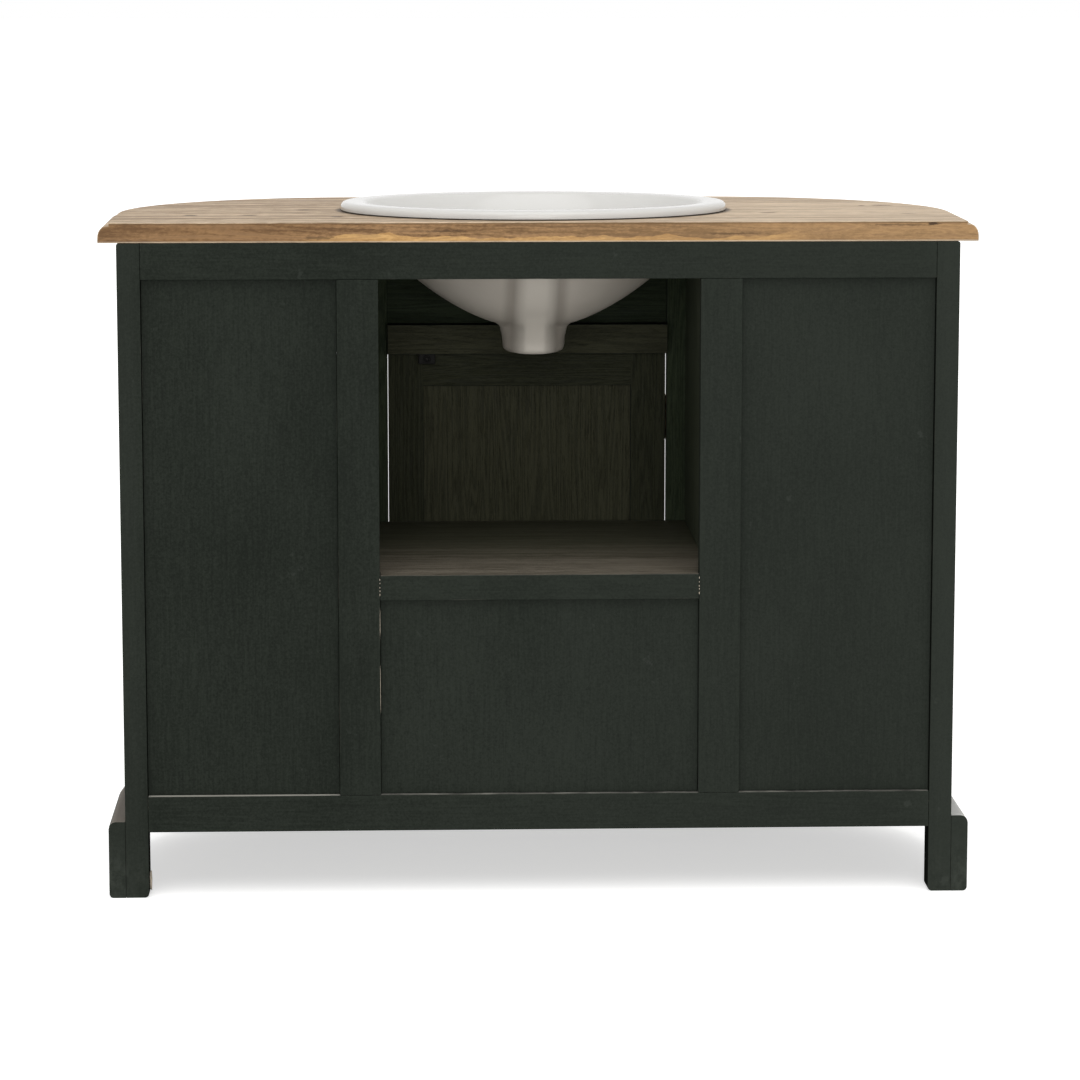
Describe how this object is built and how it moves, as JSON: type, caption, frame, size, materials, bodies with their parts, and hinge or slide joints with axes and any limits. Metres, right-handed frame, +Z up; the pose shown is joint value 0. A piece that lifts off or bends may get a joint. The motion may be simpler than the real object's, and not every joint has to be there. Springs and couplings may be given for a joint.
{
  "type": "vanity unit",
  "caption": "Free-standing painted wood vanity unit with rounded ends, a moulded wood top, an oval drop-in basin, hinged doors and an open service bay at the back.",
  "frame": {"origin": "centre of the unit's outline in plan, on the floor", "axes": "+X to the right of a person facing the front, +Y towards the back, +Z up"},
  "size_m": [1.1, 0.511, 0.871],
  "materials": {
    "paint": "brushed dark green-black paint on wood",
    "inside_wood": "dark stained wood",
    "top_wood": "pale waxed boards with knots",
    "ceramic": "white glaze",
    "seal": "dark flexible seal",
    "brass": "aged brass",
    "catch": "black plastic"
  },
  "bodies": {
    "cabinet": {"back_post_left": "paint", "back_post_right": "paint", "back_top_rail": "paint", "back_bottom_rail": "paint", "back_mid_stile_left": "paint", "back_mid_stile_right": "paint", "back_cross_rail": "paint", "back_panel_left": "paint", "back_panel_right": "paint", "back_panel_centre": "paint", "partition_left": "inside_wood", "partition_right": "inside_wood", "side_board_left": "paint", "side_board_right": "paint", "bottom_board": "inside_wood", "centre_shelf": "inside_wood", "front_stile_inner_left": "paint", "front_stile_inner_right": "paint", "front_stile_outer_left": "paint", "front_stile_outer_right": "paint", "front_rail_centre": "paint", "fascia_centre": "paint", "fascia_left": "paint", "fascia_right": "paint", "bottom_rail_centre": "paint", "bottom_rail_left": "paint", "bottom_rail_right": "paint", "skirting_front": "paint", "skirting_left": "paint", "skirting_right": "paint", "worktop": "top_wood", "basin": "ceramic", "basin_seal": "seal", "catch_body": "catch", "centre_lower_hinge_fixed_leaf": "brass", "centre_upper_hinge_fixed_leaf": "brass", "left_lower_hinge_fixed_leaf": "brass", "left_upper_hinge_fixed_leaf": "brass", "right_lower_hinge_fixed_leaf": "brass", "right_upper_hinge_fixed_leaf": "brass"},
    "centre_door": {"centre_door_hinge_stile": "paint", "centre_door_latch_stile": "paint", "centre_door_top_rail": "paint", "centre_door_bottom_rail": "paint", "centre_door_panel": "paint", "centre_lower_hinge_door_leaf": "brass", "centre_upper_hinge_door_leaf": "brass", "centre_knob": "brass", "catch_strike": "brass"},
    "left_door": {"left_door_frame": "paint", "left_door_panel": "paint", "left_lower_hinge_door_leaf": "brass", "left_upper_hinge_door_leaf": "brass", "left_knob": "brass"},
    "right_door": {"right_door_frame": "paint", "right_door_panel": "paint", "right_lower_hinge_door_leaf": "brass", "right_upper_hinge_door_leaf": "brass", "right_knob": "brass"}
  },
  "joints": [
    {"name": "centre_door_hinge", "type": "hinge", "parent": "cabinet", "child": "centre_door", "pos_m": [-0.19075, -0.2361, 0.3915], "axis": [0, 0, -1], "range_deg": [0, 100]},
    {"name": "left_door_hinge", "type": "hinge", "parent": "cabinet", "child": "left_door", "pos_m": [-0.52666, 0.01876, 0.3915], "axis": [0, 0, -1], "range_deg": [0, 110]},
    {"name": "right_door_hinge", "type": "hinge", "parent": "cabinet", "child": "right_door", "pos_m": [0.52666, 0.01876, 0.3915], "axis": [0, 0, 1], "range_deg": [0, 110]}
  ]
}
